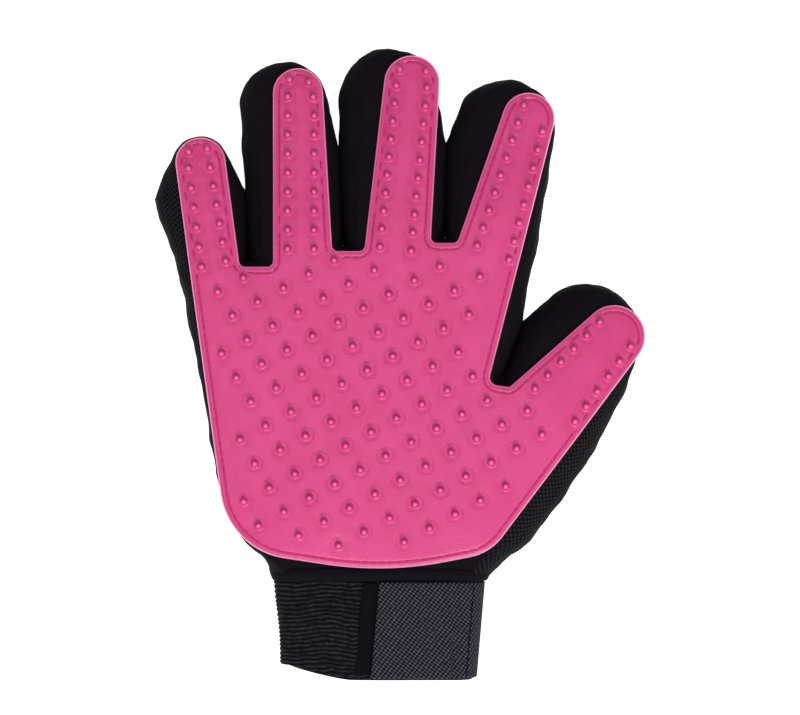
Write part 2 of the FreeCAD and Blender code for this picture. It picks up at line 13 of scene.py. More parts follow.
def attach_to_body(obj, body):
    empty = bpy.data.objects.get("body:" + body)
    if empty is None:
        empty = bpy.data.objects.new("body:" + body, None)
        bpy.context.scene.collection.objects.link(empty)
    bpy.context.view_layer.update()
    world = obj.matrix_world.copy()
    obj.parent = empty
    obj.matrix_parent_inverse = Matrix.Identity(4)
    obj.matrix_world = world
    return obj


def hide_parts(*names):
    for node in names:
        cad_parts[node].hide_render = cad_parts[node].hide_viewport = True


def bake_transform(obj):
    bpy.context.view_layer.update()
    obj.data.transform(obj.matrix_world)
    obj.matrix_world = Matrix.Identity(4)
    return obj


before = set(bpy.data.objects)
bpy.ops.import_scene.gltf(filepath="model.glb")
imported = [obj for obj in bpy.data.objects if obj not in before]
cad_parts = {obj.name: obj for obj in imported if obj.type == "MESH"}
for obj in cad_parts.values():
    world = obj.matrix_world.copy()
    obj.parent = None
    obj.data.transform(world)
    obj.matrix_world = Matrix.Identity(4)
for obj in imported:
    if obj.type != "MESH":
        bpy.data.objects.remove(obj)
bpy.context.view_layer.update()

MM = 0.001
COARSE = 1.0
STEP = 1.1 * COARSE          # spacing of points along the outlines

# -------- sizes

SILICONE = 1.8
SLEEVE_TOP = 24.0            # the fabric's upper face on the palm
SLEEVE_THICK = 1.0
SLEEVE_FLOOR = 0.7           # the fabric's lower face on the back of the hand
WIDEST = 0.46                # height of the widest point, as a share of the upper face
BACK_INSET = 7.0
DROOP = math.tan(math.radians(6.0))
TUCK = 0.4                   # how far the fabric reaches under the silicone's edge
WRIST_Y = -79.0
EYE = np.array([0.0, 2.6])    # middle of the sleeve's plan
SIDE_SPREAD = 1.008          # the widest line, against the outline seen at the silicone's level

# turn in degrees, knuckle line, second hinge beyond it, start of the bend before it
DIGITS = {
    "little": (0.0, 40.8, 21.3, 1.8),
    "ring": (0.0, 46.0, 28.4, 1.8),
    "middle": (0.0, 52.8, 26.8, 5.0),
    "index": (0.0, 54.4, 20.1, 5.0),
    "thumb": (-43.0, 24.7, 20.7, 1.8),
}
NAMES = list(DIGITS)
REGIONS = 1 + 2 * len(NAMES)  # the palm, and each digit's base and tip
BEND_END = 9.0               # where the bend at a knuckle ends, beyond its line
HALF_BEND = 5.0              # the bend at a second hinge, each way

# Where neighbouring digits touch: from the crotch to where they part.
GAPS = [
    ((-56.0, 38.5), (-57.4, 64.6)),
    ((-21.0, 44.0), (-22.8, 80.5)),
    ((16.5, 47.0), (17.0, 82.0)),
    ((38.0, -5.0), (45.5, 16.1)),
]
CROTCHES = [(-53.3, 36.2), (-19.1, 42.0), (16.6, 45.0), (36.5, -8.0)]

# The silicone's outline, clockwise, as circles that a belt runs round: centre, radius,
# and 1 where the belt turns clockwise or -1 where it turns the other way.
PAD = [
    (-38.7, -44.0, 28.0, 1), (-74.0, 74.9, 9.3, 1),
    (-57.4, 38.4, 2.2, -1), (-49.2, 38.4, 2.2, -1), (-37.9, 100.8, 9.3, 1),
    (-23.0, 44.2, 2.2, -1), (-15.2, 44.2, 2.2, -1), (4.4, 104.5, 10.3, 1),
    (13.7, 47.2, 2.2, -1), (19.6, 47.2, 2.2, -1), (47.7, 91.2, 9.7, 1),
    (36.3, -4.7, 3.0, -1), (40.1, -6.8, 1.5, -1), (79.5, 10.5, 11.5, 1),
    (22.0, -51.7, 20.0, 1), (-8.2, 54.5, 130.0, 1),
]

# Ends of each column of nubs on the digits, and its count.
COLUMNS = [
    ((-79.3, 79.9), (-73.3, 36.1), 7), ((-71.4, 79.9), (-64.4, 38.3), 7),
    ((-41.6, 106.4), (-41.6, 42.7), 10), ((-31.8, 106.4), (-31.8, 42.7), 10),
    ((-0.7, 110.1), (-7.4, 43.5), 11), ((10.7, 109.3), (4.1, 42.0), 11),
    ((45.9, 96.0), (28.5, 44.0), 9), ((55.1, 85.7), (40.3, 38.7), 8),
    ((74.0, 15.7), (49.9, -8.9), 6), ((85.4, 6.7), (64.7, -21.1), 6),
]
GRID_START = (-43.1, 28.3)     # one nub of the palm's grid, and the steps to its neighbours
GRID_STEPS = ((-9.40, -5.14), (5.40, -8.88))


# -------- plan geometry

def unit(angle):
    return np.stack([np.cos(angle), np.sin(angle)], axis=-1)


def digit_axes(digit):
    """Unit vectors across and along a digit."""
    turn = math.radians(DIGITS[digit][0])
    return unit(np.array(turn)), unit(np.array(turn + math.pi / 2))


def along_digit(digit, plan):
    """Distance of plan points beyond the digit's knuckle line."""
    return plan @ digit_axes(digit)[1] - DIGITS[digit][1]


def thumb_point(across, along):
    """A plan point from distances across and along the thumb."""
    u, v = digit_axes("thumb")
    return tuple(u * across + v * along)


def digit_of(plan):
    """Index of the digit on whose side of the gaps each plan point lies."""
    index = np.zeros(len(plan), int)
    for (x0, y0), (x1, y1) in GAPS:
        line = x0 + (plan[:, 1] - y0) * (x1 - x0) / (y1 - y0)
        index += plan[:, 0] > line
    return index


def region_of(plan, known=-1):
    """0 for the palm, and 1 + 2 * digit for its base or 2 + 2 * digit for its tip."""
    digit = np.where(known < 0, digit_of(plan), known)
    region = np.zeros(len(plan), int)
    for i, name in enumerate(NAMES):
        along = along_digit(name, plan)
        _, _, second, start = DIGITS[name]
        mine = (digit == i) & (along > -start - 2.0)
        tip = along > (BEND_END + second - HALF_BEND) / 2
        region[mine] = 1 + 2 * i
        region[mine & tip] = 2 + 2 * i
    return region


def tangents(circles, closed):
    """Outward angle of the straight run that follows each circle of a belt."""
    count = len(circles) if closed else len(circles) - 1
    angles = []
    for i in range(count):
        x0, y0, r0, s0 = circles[i]
        x1, y1, r1, s1 = circles[(i + 1) % len(circles)]
        run = math.hypot(x1 - x0, y1 - y0)
        lean = math.acos(max(-1, min(1, (s0 * r0 - s1 * r1) / run)))
        angles.append(math.atan2(y1 - y0, x1 - x0) + lean)
    return angles


def turn_between(start, end, sign, radius):
    """The angle turned at a circle; at a bare corner it is the shorter way."""
    turn = (end - start + math.pi) % (2 * math.pi) - math.pi
    if radius > 0 and sign * turn > 0.01:
        turn -= sign * 2 * math.pi
    return turn


def belt_keys(circles, closed):
    """For each circle of a belt: centre, signed radius, first angle and turn."""
    circles = [c if len(c) == 4 else (*c, 0.0, 1) for c in circles]
    runs = tangents(circles, closed)
    keys = []
    for i, (x, y, radius, sign) in enumerate(circles):
        before = runs[i - 1] if closed or i > 0 else runs[0]
        after = runs[i] if closed or i < len(runs) else runs[-1]
        keys.append((np.array([x, y]), sign * radius, before,
                     turn_between(before, after, sign, radius)))
    return keys


def twin_belts(first, second, closed, spacing, reach=0.0):
    """Two belts sampled point for point: plan points of both and the second's angles.

    A belt holds circles as (x, y, radius, sign) and bare corners as (x, y). reach is how
    far inside the second belt another line has to stay evenly spaced.
    """
    pairs = list(zip(belt_keys(first, closed), belt_keys(second, closed)))
    one, two, angles = [], [], []
    for i, pair in enumerate(pairs):
        length = max(abs(turn) * max(abs(radius), abs(radius - reach))
                     for _, radius, _, turn in pair)
        count = max(1, math.ceil(length / spacing))
        for t in np.arange(count + 1) / count:
            (c0, r0, a0, t0), (c1, r1, a1, t1) = pair
            one.append(c0 + r0 * unit(np.array(a0 + t0 * t)))
            two.append(c1 + r1 * unit(np.array(a1 + t1 * t)))
            angles.append(a1 + t1 * t)
        if i + 1 < len(pairs) or closed:
            after = pairs[(i + 1) % len(pairs)]
            ends = [key[0] + key[1] * unit(np.array(key[2])) for key in after]
            starts = (one[-1], two[-1])
            run = max(np.linalg.norm(e - s) for e, s in zip(ends, starts))
            count = max(1, math.ceil(run / spacing))
            for t in np.arange(1, count) / count:
                one.append(starts[0] + (ends[0] - starts[0]) * t)
                two.append(starts[1] + (ends[1] - starts[1]) * t)
                angles.append(angles[-1])
    one, two, angles = np.array(one), np.array(two), np.array(angles)
    moved = np.linalg.norm(np.diff(two, axis=0), axis=1)
    moved += np.linalg.norm(np.diff(one, axis=0), axis=1)
    kept = np.concatenate([[True], moved + 8 * np.abs(np.diff(angles)) > 0.05])
    return one[kept], two[kept], np.unwrap(angles[kept])


def distance_to(loop, plan):
    """Distance of plan points from a closed line."""
    return distance_to_runs(loop, np.roll(loop, -1, axis=0), plan)


def distance_to_runs(start, end, plan):
    """Distance of plan points from the nearest of several straight runs."""
    span = end - start
    length = np.maximum((span ** 2).sum(axis=1), 1e-9)
    found = np.empty(len(plan))
    for low in range(0, len(plan), 2000):
        part = plan[low:low + 2000, None, :] - start[None]
        t = np.clip((part * span).sum(axis=2) / length, 0, 1)
        apart = ((part - t[..., None] * span) ** 2).sum(axis=2)
        found[low:low + 2000] = np.sqrt(apart.min(axis=1))
    return found


def distance_to_gaps(plan):
    """Distance of plan points from the lines where neighbouring digits touch."""
    ends = np.array(GAPS)
    return distance_to_runs(ends[:, 0], ends[:, 1], plan)


def inside(loop, plan):
    """Whether plan points lie inside a closed line."""
    x0, y0 = loop.T
    x1, y1 = np.roll(loop, -1, axis=0).T
    rise = np.where(np.abs(y1 - y0) < 1e-12, 1e-12, y1 - y0)
    found = np.empty(len(plan), bool)
    for low in range(0, len(plan), 4000):
        x, y = plan[low:low + 4000, 0, None], plan[low:low + 4000, 1, None]
        crossed = ((y0 > y) != (y1 > y)) & (x < (x1 - x0) * (y - y0) / rise + x0)
        found[low:low + 4000] = crossed.sum(axis=1) % 2 == 1
    return found


def grid_inside(loop, pitch, margin):
    """Staggered grid points inside a closed line, clear of it by a margin."""
    low, high = loop.min(axis=0), loop.max(axis=0)
    rows = np.arange(low[1], high[1], pitch * 0.87)
    points = [(x + (i % 2) * pitch / 2, y) for i, y in enumerate(rows)
              for x in np.arange(low[0], high[0], pitch)]
    points = np.array(points)
    points = points[inside(loop, points)]
    return points[distance_to(loop, points) > margin]


def triangles(points, loops):
    """Delaunay triangles of plan points inside loops, given as index lists."""
    edges = [(a, b) for loop in loops for a, b in zip(loop, loop[1:] + loop[:1])]
    made = delaunay_2d_cdt([Vector(p) for p in points], edges, [loops[0]], 1, 1e-6)
    if len(made[0]) != len(points):
        raise RuntimeError(f"the fill added {len(made[0]) - len(points)} points")
    source = [found[0] for found in made[3]]
    faces = np.array([[source[i] for i in face] for face in made[2]])
    a, b, c = (points[faces[:, k]] for k in range(3))
    area = (b[:, 0] - a[:, 0]) * (c[:, 1] - a[:, 1]) - (b[:, 1] - a[:, 1]) * (c[:, 0] - a[:, 0])
    faces[area < 0] = faces[area < 0][:, ::-1]
    return faces


def ripple(points, wavelength, seed):
    """Smooth noise of about unit size and the given wavelength."""
    random = np.random.default_rng(seed)
    total = np.zeros(len(points))
    for _ in range(14):
        way = random.normal(size=points.shape[1])
        way *= 2 * math.pi / wavelength / np.linalg.norm(way) * random.uniform(0.7, 1.4)
        total += np.sin(points @ way + random.uniform(0, 2 * math.pi))
    return total / math.sqrt(7)


def waves(points, wave):
    """Noise from a height, a wavelength and a seed."""
    height, wavelength, seed = wave
    return height * ripple(points, wavelength, seed)


# -------- heights

FINGER_MIDDLES = [-69.0, -36.0, -1.5, 37.0]
DROOP_EASE = 4.0             # how gradually the digits start to slope down
CROWN = 1.1                  # how far the middle of the silicone stands above its edge
CROWN_REACH = 6.0
WAVE = (0.22, 55, 3)         # height, length and random seed of the palm's slow waves

pad_line, _, pad_angle = twin_belts(PAD, PAD, True, 1.0 * COARSE)
pad_outward = unit(pad_angle)


def sleeve_top(plan):
    """Height of the fabric's upper face: flat on the palm, crowned, drooping on the digits."""
    lines = [DIGITS[name][1] for name in NAMES[:4]]
    beyond = plan[:, 1] - np.interp(plan[:, 0], FINGER_MIDDLES, lines)
    thumb = digit_of(plan) == 4
    beyond = np.where(thumb, along_digit("thumb", plan), beyond)
    droop = DROOP * (beyond + np.sqrt(beyond ** 2 + DROOP_EASE ** 2)) / 2
    within = np.where(inside(pad_line, plan), distance_to(pad_line, plan), 0)
    crown = CROWN * (1 - np.exp(-within / CROWN_REACH))
    return SLEEVE_TOP - droop + crown + waves(plan, WAVE)


# -------- meshes

class Whole:
    """A surface that is later cut into pieces, with its own normals throughout."""

    def __init__(self):
        self.points = np.zeros((0, 3))
        self.weave = np.zeros((0, 3))
        self.faces = []
        self.kinds = []
        self.digits = []

    def add_points(self, points, weave):
        first = len(self.points)
        self.points = np.vstack([self.points, points])
        self.weave = np.vstack([self.weave, weave])
        return first

    def add_faces(self, faces, kind, digits=-1):
        """faces as rows of three or four point numbers, with their digits where known."""
        faces = np.asarray(faces)
        if faces.shape[1] == 3:
            faces = np.hstack([faces, faces[:, 2:]])
        self.faces.append(faces)
        self.kinds.append(np.full(len(faces), kind))
        self.digits.append(np.zeros(len(faces), int) + digits)

    def close(self):
        self.faces = np.vstack(self.faces)
        self.kinds = np.concatenate(self.kinds)
        self.digits = np.concatenate(self.digits)
        self.find_normals()

    def find_normals(self):
        a, b, c, d = (self.points[self.faces[:, k]] for k in range(4))
        flat = np.cross(c - a, d - b)
        three = self.faces[:, 2] == self.faces[:, 3]
        flat[three] = np.cross(b[three] - a[three], c[three] - a[three])
        normals = np.zeros_like(self.points)
        for k in range(4):
            np.add.at(normals, self.faces[:, k], flat)
        size = np.maximum(np.linalg.norm(normals, axis=1), 1e-12)
        self.normals = normals / size[:, None]


def linked(name, data):
    made = bpy.data.objects.new(name, data)
    bpy.context.scene.collection.objects.link(made)
    return made


def new_piece(name, points, polygons, weave, material):
    """A smooth piece; weave is each point's place on its cloth, for the materials."""
    mesh = bpy.data.meshes.new(name)
    mesh.from_pydata((points * MM).tolist(), [], polygons)
    layer = mesh.attributes.new("weave", "FLOAT_VECTOR", "POINT")
    layer.data.foreach_set("vector", weave.ravel())
    mesh.polygons.foreach_set("use_smooth", [True] * len(mesh.polygons))
    mesh.materials.append(material)
    made = linked(name, mesh)
    return made


def thick_piece(name, whole, under, material, slot, chosen=slice(None)):
    """A piece from the chosen faces of a surface, closed by the points under it."""
    faces = whole.faces[chosen]
    used, packed = np.unique(faces, return_inverse=True)
    faces = packed.reshape(faces.shape)
    count = len(used)
    points = np.vstack([whole.points[used], under[used]])
    three = faces[:, 2] == faces[:, 3]
    polygons = [list(f[:3]) if t else list(f) for f, t in zip(faces.tolist(), three)]
    edges = np.concatenate([faces[:, [k, (k + 1) % 4]] for k in range(4)])
    edges = edges[edges[:, 0] != edges[:, 1]]
    forward = edges[:, 0].astype(np.int64) * count + edges[:, 1]
    backward = edges[:, 1].astype(np.int64) * count + edges[:, 0]
    rim = edges[~np.isin(forward, backward)]
    lower = [[i + count for i in reversed(p)] for p in polygons]
    sides = [[b, a, a + count, b + count] for a, b in rim.tolist()]
    weave = np.vstack([whole.weave[used], whole.weave[used]])
    made = new_piece(name, points, polygons + lower + sides, weave, material)
    normals = whole.normals[used]
    corners = [normals[i] for p in polygons for i in p]
    corners += [-normals[i - count] for p in lower for i in p]
    corners += [np.zeros(3)] * (4 * len(sides))
    made.data.normals_split_custom_set(np.array(corners).tolist())
    return made


def strip_faces(first, rows, columns, around=False):
    """Quads of a grid of points stored row by row."""
    last = columns if around else columns - 1
    r, c = np.meshgrid(np.arange(rows - 1), np.arange(last), indexing="ij")
    r, c = r.ravel(), c.ravel()
    n = (c + 1) % columns
    return first + np.stack([r * columns + c, r * columns + n,
                             (r + 1) * columns + n, (r + 1) * columns + c], axis=1)


def surface(points, weave, around=False, turned_over=False):
    """A closed-off Whole from points in rows and columns."""
    whole = Whole()
    whole.add_points(points.reshape(-1, 3), weave.reshape(-1, 3))
    faces = strip_faces(0, *points.shape[:2], around)
    whole.add_faces(faces[:, ::-1] if turned_over else faces, 0)
    whole.close()
    return whole


def attach(piece, region):
    """Lets a piece of the palm ride with the palm; a piece of a digit only has its transform baked
    in.
    """
    if region == 0:
        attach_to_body(piece, "palm")
        return
    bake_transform(piece)


def region_name(region):
    if region == 0:
        return "palm"
    return f"{NAMES[(region - 1) // 2]}_{'base' if region % 2 else 'tip'}"


# -------- materials

def new_material(name):
    made = bpy.data.materials.new(name)
    made.use_nodes = True
    return made, made.node_tree, made.node_tree.nodes["Principled BSDF"]


def weave_node(tree):
    found = tree.nodes.new("ShaderNodeAttribute")
    found.attribute_name = "weave"
    return found.outputs["Vector"]


def axes_of(tree, vector):
    """The outputs for the three numbers of a vector."""
    node = tree.nodes.new("ShaderNodeSeparateXYZ")
    tree.links.new(vector, node.inputs[0])
    return node.outputs


def maths(tree, operation, *values):
    """The output of a maths node; a value is a number or another output."""
    node = tree.nodes.new("ShaderNodeMath")
    node.operation = operation
    for socket, value in zip(node.inputs, values):
        if isinstance(value, (int, float)):
            socket.default_value = value
        else:
            tree.links.new(value, socket)
    return node.outputs[0]


def noise(tree, place, scale, detail=2.0):
    node = tree.nodes.new("ShaderNodeTexNoise")
    node.inputs["Scale"].default_value = scale
    node.inputs["Detail"].default_value = detail
    tree.links.new(place, node.inputs["Vector"])
    return node.outputs["Fac"]


def mixed(tree, share, first, second):
    """A colour between two, by a share from 0 to 1; each is three numbers or an output."""
    node = tree.nodes.new("ShaderNodeMix")
    node.data_type = "RGBA"
    node.clamp_factor = True
    tree.links.new(share, node.inputs["Factor"])
    for socket, colour in zip(node.inputs[6:8], (first, second)):
        if isinstance(colour, tuple):
            socket.default_value = (*colour, 1)
        else:
            tree.links.new(colour, socket)
    return node.outputs[2]


def coat(tree, shader, colour, height, depth, roughness, specular):
    """Gives a shader its colour, its relief of a depth in millimetres, and its gloss."""
    tree.links.new(colour, shader.inputs["Base Color"])
    node = tree.nodes.new("ShaderNodeBump")
    node.inputs["Strength"].default_value = 1.0
    node.inputs["Distance"].default_value = depth * MM
    tree.links.new(height, node.inputs["Height"])
    tree.links.new(node.outputs[0], shader.inputs["Normal"])
    shader.inputs["Roughness"].default_value = roughness
    shader.inputs["Specular IOR Level"].default_value = specular


def dots(tree, pitches, turn):
    """Round dots on a grid over the cloth: 1 at each centre and 0 between them."""
    mapping = tree.nodes.new("ShaderNodeMapping")
    mapping.inputs["Rotation"].default_value = (0, 0, math.radians(turn))
    tree.links.new(weave_node(tree), mapping.inputs["Vector"])
    swings = []
    for place, pitch in zip(axes_of(tree, mapping.outputs[0]), pitches):
        turned_by = maths(tree, "MULTIPLY", place, 2 * math.pi / pitch)
        swings.append(maths(tree, "COSINE", turned_by))
    total = maths(tree, "ADD", *swings)
    return maths(tree, "MULTIPLY_ADD", total, 0.25, 0.5)


# Painted highlight: the pale pink laid on the silicone's edge and on its nubs' tips, where the
# light catches them.
HIGHLIGHT_PINK = (0.86, 0.27, 0.47)


def silicone(name, colour, deep, roughness, rim=0.0):
    """Satin rubber; rim is the width in millimetres of the painted highlight along its edge, which
    also lies on the nubs' tips.
    """
    made, tree, shader = new_material(name)
    place = weave_node(tree)
    body = mixed(tree, noise(tree, place, 0.09, 3.0), deep, colour)
    if rim:
        # painted highlight: paler pink where the weave's third number, the nearness to the edge or
        # to a nub's tip, is small
        from_edge = maths(tree, "DIVIDE", axes_of(tree, place)[2], rim)
        body = mixed(tree, maths(tree, "SUBTRACT", 1.6, from_edge), body, HIGHLIGHT_PINK)
    coat(tree, shader, body, noise(tree, place, 1.3, 3.0), 0.12, roughness, 0.35)
    shader.inputs["Subsurface Weight"].default_value = 0.08
    shader.inputs["Subsurface Radius"].default_value = (0.001, 0.0003, 0.0005)
    return made


def cloth(name, dark, light, pitches, depth, turn=0.0, uneven=0.0):
    """A dark knit or net with dots, whose pitches each way are in millimetres."""
    made, tree, shader = new_material(name)
    spots = dots(tree, pitches, turn)
    share = maths(tree, "POWER", spots, 2.0)
    if uneven:
        patchy = noise(tree, weave_node(tree), 0.8)
        strength = maths(tree, "MULTIPLY_ADD", patchy, 4 * uneven, 1 - 2 * uneven)
        share = maths(tree, "MULTIPLY", share, strength)
    coat(tree, shader, mixed(tree, share, dark, light), spots, depth, 0.85, 0.06)
    return made


def ribbed(name, dark, light):
    """Elastic whose third weave coordinate is 1 on each rib and 0 between them; the rib tops are
    coloured lighter as a painted highlight.
    """
    made, tree, shader = new_material(name)
    place = weave_node(tree)
    strength = maths(tree, "MULTIPLY_ADD", noise(tree, place, 0.55, 3.0), 2.6, -0.6)
    # painted highlight: the tops of the ribs are coloured lighter
    crest_highlight = maths(tree, "POWER", axes_of(tree, place)[2], 2.2)
    share = maths(tree, "MULTIPLY", crest_highlight, strength)
    coat(tree, shader, mixed(tree, share, dark, light), noise(tree, place, 2.0), 0.15, 0.85, 0.08)
    return made


# the last number is the width of the painted highlight on the silicone's edge
PINK = silicone("pink_silicone", (0.62, 0.05, 0.215), (0.51, 0.032, 0.155), 0.3, 0.4)
THREAD = silicone("pink_thread", (0.46, 0.026, 0.13), (0.41, 0.022, 0.11), 0.7)
SMOOTH = cloth("smooth_fabric", (0.0036, 0.003, 0.0048), (0.0062, 0.0053, 0.0078),
               (0.5, 0.5), 0.02)
NET = cloth("mesh_fabric", (0.0014, 0.0012, 0.0018), (0.019, 0.018, 0.021),
            (1.4, 1.4), 0.14, 45)
ELASTIC = ribbed("ribbed_elastic", (0.0012, 0.001, 0.0018), (0.021, 0.02, 0.026))
TAPE = cloth("strap_webbing", (0.0016, 0.0014, 0.003), (0.078, 0.076, 0.1),
             (1.5, 1.05), 0.2, 33, 0.5)
PILE = cloth("loop_tape", (0.0018, 0.0016, 0.0028), (0.0055, 0.0052, 0.0075),
             (0.7, 0.7), 0.08, 20)
HOOKS = cloth("hook_tape", (0.006, 0.006, 0.008), (0.04, 0.04, 0.045), (1.3, 1.3), 0.1)


# -------- fabric sleeve

PRESS = 0.1                  # how far a digit presses into the one it touches
PRESS_START = 1.2            # the distance above a crotch at which it does so fully
UPPER_ROWS, LOWER_ROWS = 20, 10      # of points above and below the widest line
UPPER_FILL, LOWER_FILL = 2.4, 1.7    # spacing of the points that fill the two edges
SEAM_DOWN = 4.8              # the side seam's distance below the upper edge
SEAM_WIDTH, SEAM_SINK = 0.55, 0.42
CREASES = (0.2, 14, 11)      # heights, lengths and random seeds of the sleeve's waves
FINE_CREASES = (0.09, 5.5, 12)
BACK_WAVES = (0.25, 11, 13)
LOWEST = 0.15                # the fabric's least height over the floor


def tucked(circle):
    """The sleeve's upper edge under a circle of the silicone's outline."""
    x, y, radius, sign = circle
    return (x, y, radius - sign * TUCK, sign)


def crotch(gap, left, right, lean=0.0):
    """The two tight turns at the bottom of a gap, on the upper edge and the side."""
    x, y = gap[0]
    apart, tight = 0.006, 0.02
    return [(tucked(left), (x - apart, y + lean, tight, -1)),
            (tucked(right), (x + apart, y - lean, tight, -1))]


def left_edge(y):
    """The upper edge of the sleeve along the little finger's side of the palm."""
    return (-66.1 - 16.7 * (y + 41.0) / 114.7, y)


def index_edge(y):
    """The upper edge of the sleeve along the index finger's thumb side."""
    return (56.7 - 23.7 * (88.7 - y) / 92.7, y)


def thumb_edge(along):
    """The upper edge of the sleeve along the thumb's outer side."""
    return thumb_point(62.0 + 0.105 * (63.1 - along), along)


# Each finger's tip on the side, and where its gap parts on the upper edge, left and right.
FINGER_TIPS = [(-74.0, 74.6, 10.2, 1), (-43.2, 96.1, 16.1, 1), (-4.4, 99.2, 18.0, 1),
               (38.9, 86.9, 18.5, 1)]
PARTINGS = [(-63.6, -46.7), (-27.8, -8.4), (13.1, 34.7)]


def sleeve_edges():
    """Pairs of circles or bare corners, for the upper edge and the side, clockwise."""
    edges = [
        ((-40.0, WRIST_Y), (-46.9, WRIST_Y)),
        ((-45.0, -74.5), (-48.7, -74.2)),
        ((-49.5, -70.9), (-51.2, -70.6)),
        ((-56.7, -64.8), (-57.9, -65.0)),
        ((-61.8, -57.5), (-63.4, -56.0)),
    ]
    edges += [(left_edge(y), (x, y)) for x, y in
              ((-68.0, -40.0), (-71.0, -20.5), (-76.4, 6.1), (-79.6, 23.9), (-83.6, 40.0),
               (-89.0, 53.5), (-91.0, 61.0), (-88.9, 67.5))]
    for i, tip in enumerate(FINGER_TIPS):
        edges.append((tucked(PAD[3 * i + 1]), tip))
        if i < len(PARTINGS):
            part = GAPS[i][1]
            left, right = ((x, part[1]) for x in PARTINGS[i])
            edges.append((left, part))
            edges += crotch(GAPS[i], *PAD[3 * i + 2:3 * i + 4])
            edges.append((right, part))
    edges += [(index_edge(y), (x, y)) for x, y in ((53.2, 60.0), (50.1, 40.0), (46.4, 24.0))]
    part = GAPS[3][1]
    edges.append((index_edge(part[1]), part))
    edges += crotch(GAPS[3], PAD[11], PAD[12], 0.002)
    edges += [(thumb_point(37.8, 42.8), part), (tucked(PAD[13]), (69.0, 10.2, 19.8, 1))]
    edges += [(thumb_edge(v), thumb_point(u, v))
              for u, v in ((68.4, 47.0), (74.4, 26.0), (78.1, 2.0), (80.0, -14.6))]
    edges += [
        ((36.6, -64.9), (43.3, -69.4)),
        ((30.0, -73.0), (37.7, -73.8)),
        ((24.0, WRIST_Y), (31.8, WRIST_Y)),
    ]
    return edges


def pressed(side, angle):
    """The side with touching digits pressed together from the crotch to where they part."""
    bottoms = np.array([gap[0] for gap in GAPS])
    touching = distance_to_gaps(side) < 0.2
    above = np.linalg.norm(side[:, None] - bottoms[None], axis=2).min(axis=1)
    push = PRESS * touching * np.clip(above / PRESS_START, 0, 1)
    return side + push[:, None] * unit(angle)


def smoothed(values, rounds):
    for _ in range(rounds):
        inner = (values[:-2] + 2 * values[1:-1] + values[2:]) / 4
        values = np.concatenate([values[:1], inner, values[-1:]])
    return values


def build_sleeve():
    """The whole sleeve as one surface: upper edge, side, lower edge and both fills."""
    upper, side, angle = twin_belts(*zip(*sleeve_edges()), False, STEP, BACK_INSET)
    side = pressed(side, angle)
    upper, side, angle = smoothed(upper, 3), smoothed(side, 3), smoothed(angle, 30)
    side = (side - EYE) * SIDE_SPREAD + EYE
    lower = smoothed(side - BACK_INSET * unit(angle), 24)
    top = sleeve_top(upper)
    count = len(upper)
    passed = run_along(side)
    rows = []
    for turn in np.linspace(0, math.pi / 2, UPPER_ROWS + 1):
        plan = upper + (side - upper) * math.sin(turn)
        rows.append((plan, top * (WIDEST + (1 - WIDEST) * math.cos(turn))))
    for turn in np.linspace(0, math.pi / 2, LOWER_ROWS + 1)[1:]:
        plan = lower + (side - lower) * math.cos(turn)
        height = top * WIDEST
        rows.append((plan, height - (height - SLEEVE_FLOOR) * math.sin(turn)))
    whole = Whole()
    points = np.array([np.column_stack([plan, height]) for plan, height in rows])
    lengths = np.linalg.norm(np.diff(points, axis=0), axis=2).mean(axis=1)
    down = np.concatenate([[0], np.cumsum(lengths)])
    weave = np.zeros_like(points)
    weave[:, :, 0] = passed[None]
    weave[:, :, 1] = down[:, None]
    first = whole.add_points(points.reshape(-1, 3), weave.reshape(-1, 3))
    quads = strip_faces(first, len(rows), count)
    place = (quads % count).min(axis=1)
    low = [nearest(side, gap[0]) for gap in GAPS]
    digit = np.searchsorted(low, place, side="right")
    facing = unit(angle)[place]
    little_outside = (digit == 0) & (facing[:, 0] < -0.2)
    thumb_outside = (digit == 4) & (facing @ digit_axes("thumb")[0] > 0.2)
    netted = little_outside | thumb_outside
    over = quads.min(axis=1) // count < UPPER_ROWS
    for chosen, kind in ((over & ~netted, SIDE_SMOOTH), (over & netted, SIDE_NET), (~over, BACK)):
        whole.add_faces(quads[chosen], kind, digit[chosen])
    fill(whole, upper, 0, UPPER_FILL * COARSE, False)
    fill(whole, lower, (len(rows) - 1) * count, LOWER_FILL * COARSE, True)
    whole.close()
    wrinkle(whole, count, down)
    return whole


def nearest(line, place):
    """Number of the point of a line nearest to a place."""
    return int(np.linalg.norm(line - place, axis=1).argmin())


def fill(whole, line, start, pitch, below):
    """Closes the sleeve inside a line whose points are numbered from start."""
    extra = grid_inside(line, pitch, pitch * 0.55)
    if below:
        height = np.full(len(extra), SLEEVE_FLOOR)
    else:
        height = sleeve_top(extra)
    first = whole.add_points(np.column_stack([extra, height]),
                             np.column_stack([extra, np.zeros(len(extra))]))
    numbers = np.concatenate([start + np.arange(len(line)), first + np.arange(len(extra))])
    plan = np.vstack([line, extra])
    faces = numbers[triangles(plan, [list(range(len(line)))])]
    whole.add_faces(faces[:, ::-1] if below else faces, BACK if below else SIDE_SMOOTH)


def wrinkle(whole, count, down):
    """Soft creases on the sides and the seam that runs beside the silicone."""
    points = whole.points
    strip = np.arange(len(points)) < count * len(down)
    row = np.where(strip, np.arange(len(points)) // count, 0)
    depth = down[np.minimum(row, len(down) - 1)]
    fade = np.where(strip, np.clip(depth / 4, 0, 1), 0)
    stretched = points * (1, 1, 0.45)
    fade = fade * np.clip((distance_to_gaps(points[:, :2]) - 0.8) / 5, 0, 1)
    push = waves(stretched, CREASES) + waves(points, FINE_CREASES)
    seam = np.where(strip, np.exp(-((depth - SEAM_DOWN) / SEAM_WIDTH) ** 2), 0)
    whole.points = points + whole.normals * (push * fade - SEAM_SINK * seam)[:, None]
    flat = ~strip & (points[:, 2] < 5)
    whole.points[flat, 2] += waves(points[flat], BACK_WAVES)
    whole.points[:, 2] = np.maximum(whole.points[:, 2], LOWEST)
    whole.find_normals()


